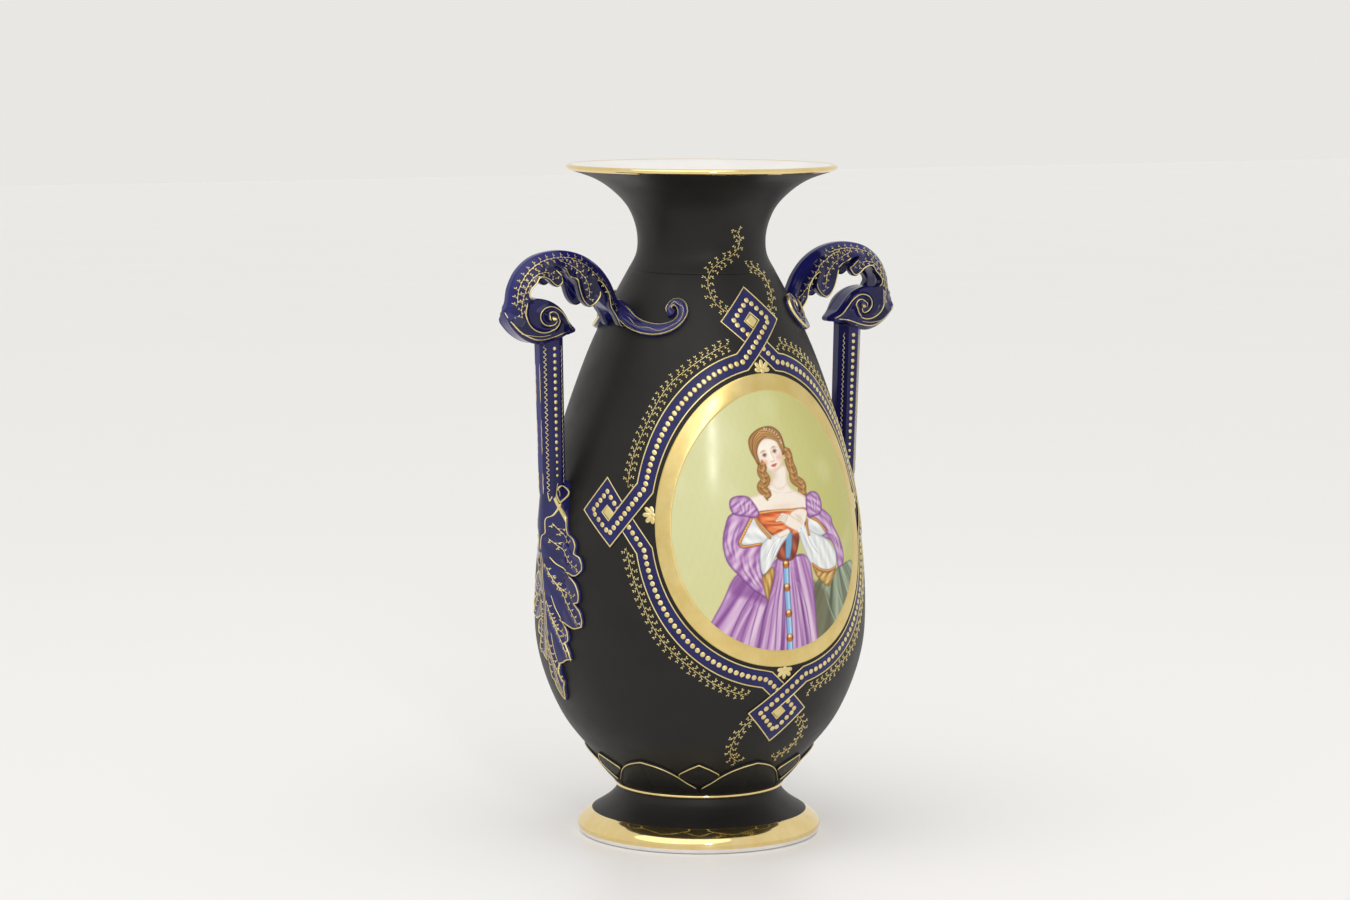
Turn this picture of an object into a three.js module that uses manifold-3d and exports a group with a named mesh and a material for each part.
// Two-handled porcelain mantel vase on a flared foot, in millimetres, +Z up.
// The origin is the centre of the foot's resting ring; the handles lie along X,
// and the painted front faces -Y. Each thrown or press-moulded piece of porcelain
// is a solid of its own, with the seam that slip would fill left as a thin gap.
import * as THREE from 'three';
import { mergeVertices } from 'three/addons/utils/BufferGeometryUtils.js';
import Module from 'manifold-3d';

// ---- driving dimensions -------------------------------------------------------
const HEIGHT = 450; // table to rim
const SEAM_GAP = 0.3; // slip seam between two pieces
const SEGMENTS = 40; // facets round a thrown piece
const WALL = 6; // thrown wall of the body
const LIP_WALL = 4.6; // thrown wall of the neck

const FOOT_RADIUS = 82; // widest point of the foot
const FOOT_TREAD_OUTER = 79.6; // resting ring
const FOOT_TREAD_INNER = 69;
const WAIST_RADIUS = 54.7; // narrowest point above the foot
const FOOT_TOP = 34.6; // seam between foot and body
const BODY_TOP = 380; // seam between body and neck
const SHOULDER_RADIUS = 48.9; // body radius at that seam
const FLOOR_TOP = 42; // inside bottom of the body
const THROAT_RADIUS = 43; // narrowest point of the neck
const RIM_RADIUS = 90.4;

const HANDLE_HALF_DEPTH = 12.5; // handle plate, half its thickness along Y
const STEM_X = 115; // distance of the handle's stem from the axis
const STEM_RADIUS = 8.8;
const STEM_LEAN = 1.6; // degrees that the stem leans in towards its foot
const STEM_BOTTOM = 238;
const LEAF_BOTTOM = 97;

const PETALS = 6;
const PETAL_RELIEF = 2.2;

const BLACK = 0x1b1a19;
const COBALT = 0x20245c;

// ---- solids -------------------------------------------------------------------
const wasm = await Module();
wasm.setup();

/** Merge a geometry's shared corners, drop slivers of no area and make it a solid. */
function solid(geometry) {
  const bare = geometry.clone();
  bare.deleteAttribute('normal');
  bare.deleteAttribute('uv');
  const merged = mergeVertices(bare, 1e-3);
  const corners = Array.from(merged.index.array);
  const triangles = [];
  for (let i = 0; i < corners.length; i += 3) {
    const [a, b, c] = corners.slice(i, i + 3);
    if (a !== b && b !== c && c !== a) triangles.push(a, b, c);
  }
  const vertProperties = new Float32Array(merged.attributes.position.array);
  if (signedVolume(vertProperties, triangles) < 0) triangles.reverse();
  return new wasm.Manifold(
    new wasm.Mesh({ numProp: 3, vertProperties, triVerts: new Uint32Array(triangles) }),
  );
}

function signedVolume(positions, triangles) {
  const corner = (k) => new THREE.Vector3().fromArray(positions, 3 * triangles[k]);
  let volume = 0;
  for (let i = 0; i < triangles.length; i += 3) {
    volume += corner(i).dot(corner(i + 1).cross(corner(i + 2))) / 6;
  }
  return volume;
}

function geometryOf(manifold) {
  const { vertProperties, triVerts } = manifold.getMesh();
  const geometry = new THREE.BufferGeometry();
  geometry.setAttribute('position', new THREE.BufferAttribute(vertProperties, 3));
  geometry.setIndex(new THREE.BufferAttribute(triVerts, 1));
  return geometry;
}

const vase = new THREE.Group();

function addPiece(name, manifold, color, roughness = 0.35, metalness = 0) {
  const material = new THREE.MeshStandardMaterial({ color, roughness, metalness });
  const mesh = new THREE.Mesh(geometryOf(manifold), material);
  mesh.name = name;
  vase.add(mesh);
}

// ---- thrown profiles ------------------------------------------------------------
const point = (radius, z) => new THREE.Vector2(radius, z);

/** A lathe turns about Y, so the finished piece is stood up on Z. */
function thrown(profile) {
  const geometry = new THREE.LatheGeometry(profile, SEGMENTS);
  return solid(geometry.rotateX(Math.PI / 2));
}

/** The same outline, moved away from the axis by a distance along its own normal. */
function parallel(curve, steps, distance, from = 0) {
  return Array.from({ length: steps + 1 }, (_, i) => {
    const t = from + ((1 - from) * i) / steps;
    const along = curve.getTangent(t);
    const at = curve.getPoint(t);
    return point(at.x + distance * along.y, at.y - distance * along.x);
  });
}

const bodyOutline = new THREE.SplineCurve([
  point(WAIST_RADIUS + 0.3, FOOT_TOP + SEAM_GAP),
  point(67.5, 49.8),
  point(92.5, 81),
  point(108, 120),
  point(111.3, 158),
  point(107, 212),
  point(96, 265.5),
  point(78, 319.5),
  point(61.6, 356),
  point(SHOULDER_RADIUS, BODY_TOP),
]);

/** Outline point and tangent where the body is at height z. */
function bodyAt(z) {
  let low = 0;
  let high = 1;
  for (let i = 0; i < 24; i += 1) {
    const middle = (low + high) / 2;
    if (bodyOutline.getPoint(middle).y < z) low = middle;
    else high = middle;
  }
  return { at: bodyOutline.getPoint(low), along: bodyOutline.getTangent(low) };
}

/** A point at an angle about the axis and height z, standing level off the body. */
function onBody(angle, z, height) {
  const { at, along } = bodyAt(z);
  const radius = at.x + height / along.y;
  return new THREE.Vector3(radius * Math.cos(angle), radius * Math.sin(angle), z);
}

const BODY_STEPS = 16;
const insideStart = 0.06; // where the inner wall leaves the floor
const outside = parallel(bodyOutline, BODY_STEPS, 0);
const inside = parallel(bodyOutline, BODY_STEPS - 2, -WALL, insideStart)
  .filter((p) => p.y > FLOOR_TOP + 1 && p.y < BODY_TOP - 1)
  .reverse();
addPiece(
  'body',
  thrown([
    point(0, FOOT_TOP + SEAM_GAP),
    ...outside,
    point(SHOULDER_RADIUS - WALL, BODY_TOP),
    ...inside,
    point(inside.at(-1).x - 6, FLOOR_TOP),
    point(0, FLOOR_TOP),
  ]),
  BLACK,
  0.4,
);

const neckOutline = new THREE.SplineCurve([
  point(SHOULDER_RADIUS - 0.2, BODY_TOP + SEAM_GAP),
  point(THROAT_RADIUS + 0.4, 391.5),
  point(THROAT_RADIUS + 0.4, 406),
  point(48.9, 420.8),
  point(59, 432),
  point(71.5, 440.3),
  point(RIM_RADIUS - 2, 446.3),
]);
const NECK_STEPS = 12;
addPiece(
  'neck',
  thrown([
    ...parallel(neckOutline, NECK_STEPS, 0),
    point(RIM_RADIUS, HEIGHT - 2),
    point(RIM_RADIUS - 0.8, HEIGHT - 0.5),
    point(RIM_RADIUS - 2.6, HEIGHT),
    ...parallel(neckOutline, NECK_STEPS, -LIP_WALL).reverse().slice(1, -1),
    point(SHOULDER_RADIUS - WALL, BODY_TOP + SEAM_GAP),
    point(SHOULDER_RADIUS - 0.2, BODY_TOP + SEAM_GAP),
  ]),
  BLACK,
  0.4,
);

const footFlare = new THREE.SplineCurve([
  point(WAIST_RADIUS, 31.6),
  point(57.6, 26.5),
  point(63.6, 21),
  point(71.9, 15.6),
  point(79, 11.4),
  point(FOOT_RADIUS, 7.2),
]);
addPiece(
  'foot',
  thrown([
    point(47.5, FOOT_TOP),
    point(44.5, 24),
    point(52, 15.5),
    point(63, 8),
    point(FOOT_TREAD_INNER - 1.5, 3),
    point(FOOT_TREAD_INNER, 0),
    point(FOOT_TREAD_OUTER, 0),
    point(FOOT_RADIUS - 1, 2.4),
    ...parallel(footFlare, 7, 0).reverse(),
    point(WAIST_RADIUS + 1.5, 32.4),
    point(WAIST_RADIUS + 1.9, 33.3),
    point(WAIST_RADIUS + 1.5, 34.2),
    point(WAIST_RADIUS + 0.2, FOOT_TOP),
    point(47.5, FOOT_TOP),
  ]),
  BLACK,
  0.4,
);

// ---- relief that lies on the body -------------------------------------------------
/**
 * A closed sheet over a grid, across from -1 to 1 and along from 0 to 1. Each place
 * on the grid gives an angle, a height z and how far the relief stands up there.
 */
function relief(acrossSteps, alongSteps, place) {
  const columns = acrossSteps + 1;
  const sheet = columns * (alongSteps + 1);
  const corners = [];
  for (const isOuter of [true, false]) {
    for (let j = 0; j <= alongSteps; j += 1) {
      for (let i = 0; i <= acrossSteps; i += 1) {
        const spot = place((2 * i) / acrossSteps - 1, j / alongSteps);
        const inner = spot.lift ?? SEAM_GAP;
        const height = isOuter ? inner + spot.height : inner;
        corners.push(...onBody(spot.angle, spot.z, height).toArray());
      }
    }
  }
  const faces = [];
  const quad = (a, b, c, d) => faces.push(a, b, c, a, c, d);
  for (let j = 0; j < alongSteps; j += 1) {
    const row = j * columns;
    for (let i = 0; i < acrossSteps; i += 1) {
      const at = row + i;
      quad(at, at + 1, at + 1 + columns, at + columns);
      quad(sheet + at, sheet + at + columns, sheet + at + 1 + columns, sheet + at + 1);
    }
    const end = row + acrossSteps;
    quad(row, row + columns, sheet + row + columns, sheet + row);
    quad(end, sheet + end, sheet + end + columns, end + columns);
  }
  const last = alongSteps * columns;
  for (let i = 0; i < acrossSteps; i += 1) {
    quad(i, sheet + i, sheet + i + 1, i + 1);
    quad(last + i, last + i + 1, sheet + last + i + 1, sheet + last + i);
  }
  const geometry = new THREE.BufferGeometry();
  geometry.setAttribute('position', new THREE.Float32BufferAttribute(corners, 3));
  geometry.setIndex(faces);
  return solid(geometry);
}

/** Straight-line reading of a short list of [where, value] pairs. */
function between(pairs, where) {
  const after = pairs.findIndex(([mark]) => mark >= where);
  if (after <= 0) return pairs[after === 0 ? 0 : pairs.length - 1][1];
  const [lowMark, lowValue] = pairs[after - 1];
  const [highMark, highValue] = pairs[after];
  return lowValue + ((where - lowMark) / (highMark - lowMark)) * (highValue - lowValue);
}

const degrees = THREE.MathUtils.degToRad;

// Calyx: broad petals side by side, and a pointed tip behind each notch. The pairs
// are height on the body and half the width there, in degrees about the axis.
const broadPetal = [[35.4, 29.8], [40.5, 29.6], [46, 22.6], [51, 17.6], [56, 12], [59, 6], [60, 1]];
const petalTip = [[43, 0.5], [46, 6.4], [51, 11.5], [55.5, 7], [60, 0.6]];

function petal(outline, middleAngle) {
  const bottom = outline[0][0];
  const top = outline.at(-1)[0];
  return relief(6, 6, (across, along) => {
    const z = bottom + along * (top - bottom);
    return { angle: middleAngle + across * degrees(between(outline, z)), z, height: PETAL_RELIEF };
  });
}

for (let i = 0; i < PETALS; i += 1) {
  const front = -Math.PI / 2 + (i * 2 * Math.PI) / PETALS;
  addPiece(`calyx_petal_${i + 1}`, petal(broadPetal, front), BLACK);
  addPiece(`calyx_tip_${i + 1}`, petal(petalTip, front + Math.PI / PETALS), BLACK);
}

// ---- handles ---------------------------------------------------------------------
// Outlines are drawn at X > 0 in the plane of X and Z, and mirrored for the other side.
const rightOrLeft = { right: 1, left: -1 };

/** Outline over the arch, from the shoulder to the lip above the volute. */
const archBack = new THREE.SplineCurve([
  point(56, 350),
  point(65, 362),
  point(70, 374.5),
  point(79.5, 385),
  point(93, 392.7),
  point(109, 395.5),
  point(126, 392.6),
  point(138, 384),
  point(145, 372),
  point(147, 362),
]);

/** Inner edge of the arch: plain under the crown, then the leafy fringe. */
const archFringe = [
  point(149, 356.8),
  point(132.5, 365.2),
  point(133, 371),
  point(128, 375.6),
  point(120, 377),
  point(112.5, 373.5),
  point(103.5, 364.5),
  point(98, 371),
  point(93.4, 371),
  point(91, 365),
  point(88.5, 359),
  point(91, 352),
  point(88.5, 347),
  point(80, 344.5),
  point(62, 341),
];

/** The scroll's rolled end, with its bud pointing back at the body. */
const voluteEdge = [
  point(132.3, 364.9),
  point(148.4, 356.2),
  point(147.6, 350),
  point(143, 344),
  point(138, 339.8),
  point(132, 336.6),
  point(125, 335),
  point(117, 336.6),
  point(109, 340),
  point(99, 340.9),
  point(97, 342.6),
  point(98.5, 345),
  point(103.5, 348),
  point(107.5, 354),
  point(112.5, 359.6),
  point(119, 363.4),
  point(126, 364.9),
];

/** A plate cut from an outline in X and Z, centred on Y, with its edges bevelled. */
function plate(outline, halfDepth, bevelDepth, bevelInset, grow = 0) {
  const geometry = new THREE.ExtrudeGeometry(new THREE.Shape(outline), {
    depth: 2 * (halfDepth - bevelDepth),
    bevelEnabled: true,
    bevelThickness: bevelDepth,
    bevelSize: bevelInset,
    bevelOffset: grow - bevelInset,
    bevelSegments: 1,
  });
  geometry.translate(0, 0, bevelDepth - halfDepth);
  return solid(geometry.rotateX(Math.PI / 2));
}

/** The body's outer form with the seam gap round it, used only to cut with. */
const bodyForm = thrown([
  point(0, FOOT_TOP),
  ...parallel(bodyOutline, 30, SEAM_GAP + 0.4),
  point(0, BODY_TOP),
]);

const arm = plate([...archBack.getPoints(22), ...archFringe], HANDLE_HALF_DEPTH, 7, 2.4)
  .subtract(bodyForm);
const volute = plate(voluteEdge, HANDLE_HALF_DEPTH + 0.5, 3, 0.8);

const STEM_LENGTH = 110;
const stemShape = new THREE.CylinderGeometry(STEM_RADIUS, STEM_RADIUS + 0.6, STEM_LENGTH, 8)
  .rotateX(Math.PI / 2)
  .rotateZ(Math.PI / 8)
  .translate(0, 0, STEM_LENGTH / 2)
  .rotateY(degrees(STEM_LEAN))
  .translate(STEM_X - 2.6, 0, STEM_BOTTOM);
const voluteClearance = plate(voluteEdge, HANDLE_HALF_DEPTH + 1, 0.2, 0, SEAM_GAP);
const stem = solid(stemShape).subtract(voluteClearance);

// Acanthus leaf under the stem: height on the body, half width and rise of the midrib.
const leafHalfWidth = [
  [LEAF_BOTTOM, 1.5], [105, 8], [113, 10], [122, 13.5], [128, 21], [139, 20.5], [147, 24],
  [151, 33.5], [160, 31], [169, 27], [180, 25], [188, 31.5], [200, 19], [208, 12],
  [216, 9.2], [STEM_BOTTOM, 8.6],
];
const leafMidrib = [
  [LEAF_BOTTOM, 2], [120, 4], [150, 6], [170, 8], [185, 10.5], [200, 14], [216, 16.5],
  [STEM_BOTTOM, 18],
];
const LEAF_EDGE_RISE = 2.4;

function leaf(side) {
  const middle = side > 0 ? 0 : Math.PI;
  const top = STEM_BOTTOM - SEAM_GAP - 0.2;
  return relief(6, 18, (across, along) => {
    const z = LEAF_BOTTOM + along * (top - LEAF_BOTTOM);
    const halfAngle = between(leafHalfWidth, z) / bodyAt(z).at.x;
    const crown = 1 - Math.abs(across) ** between([[LEAF_BOTTOM, 1.2], [200, 1.2], [222, 4]], z);
    const rise = between(leafMidrib, z) - LEAF_EDGE_RISE;
    return { angle: middle + side * across * halfAngle, z, height: LEAF_EDGE_RISE + rise * crown };
  });
}

// Tendrils run from the arm along the shoulder and curl up. The path gives degrees
// round from the handle's plane and height z; the last stretch is a round curl.
const TENDRIL_RELIEF = 4.2;
const tendrilPath = new THREE.CatmullRomCurve3([
  new THREE.Vector3(15.6, 354, 7.5),
  new THREE.Vector3(20, 347.5, 3.5),
  new THREE.Vector3(28, 344.2, 0.6),
  new THREE.Vector3(37, 343.8, 0),
  new THREE.Vector3(45.5, 347.6, 0),
  new THREE.Vector3(49.4, 354.4, 0),
  new THREE.Vector3(46.8, 360.6, 0),
  new THREE.Vector3(42.4, 360, 0),
  new THREE.Vector3(40.8, 355.6, 0),
]);
const tendrilHalfWidth = [[0, 6.2], [0.25, 4.6], [0.6, 3.6], [0.85, 2.4], [1, 1.6]];

function tendril(side, towardsBack) {
  const middle = side > 0 ? 0 : Math.PI;
  const mirror = side * towardsBack;
  return relief(4, 18, (across, along) => {
    const here = tendrilPath.getPoint(along);
    const ahead = tendrilPath.getTangent(along);
    const radius = bodyAt(here.y).at.x;
    const round = degrees(ahead.x) * radius;
    const length = Math.hypot(round, ahead.y);
    const offset = across * between(tendrilHalfWidth, along);
    const turn = degrees(here.x) - (offset * ahead.y) / length / radius;
    return {
      angle: middle + mirror * turn,
      z: here.y + (offset * round) / length,
      height: TENDRIL_RELIEF * (1 - 0.55 * across ** 2),
      lift: SEAM_GAP + Math.max(here.z, 0),
    };
  });
}

for (const [sideName, side] of Object.entries(rightOrLeft)) {
  const placed = (manifold) => (side > 0 ? manifold : manifold.mirror([1, 0, 0]));
  const name = (piece) => `handle_${sideName}_${piece}`;
  addPiece(name('arm'), placed(arm), COBALT, 0.2);
  addPiece(name('volute'), placed(volute), COBALT, 0.2);
  addPiece(name('stem'), placed(stem), COBALT, 0.2);
  addPiece(name('leaf'), leaf(side), COBALT, 0.2);
  addPiece(name('tendril_front'), tendril(side, -1), COBALT, 0.2);
  addPiece(name('tendril_back'), tendril(side, 1), COBALT, 0.2);
}

export default vase;
